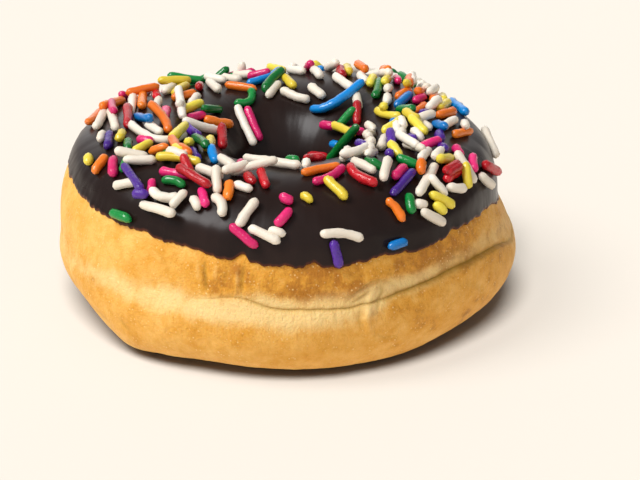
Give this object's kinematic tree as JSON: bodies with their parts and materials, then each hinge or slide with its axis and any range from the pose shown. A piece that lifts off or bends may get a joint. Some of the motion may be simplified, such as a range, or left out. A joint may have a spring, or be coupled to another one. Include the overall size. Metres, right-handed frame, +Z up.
{
  "type": "sprinkle frosted doughnut",
  "caption": "Raised ring doughnut with a golden fried waist, dark chocolate icing over the top and coloured sugar sprinkles.",
  "frame": {"origin": "on the table, under the middle of the doughnut's box", "axes": "+Z up through the hole, the iced side up; -Y is the side with the fold in the dough; +X is to its right"},
  "size_m": [0.0944, 0.0926, 0.0397],
  "materials": {
    "fried_dough": "satin fried crust, golden brown with a paler band round the waist",
    "chocolate_icing": "satin set chocolate icing",
    "sugar_sprinkles": "glazed sugar strands in white, yellow, pink, red, orange, green, blue and purple"
  },
  "bodies": {
    "root": {"dough_ring": "fried_dough", "chocolate_icing": "chocolate_icing"}
  },
  "joints": []
}
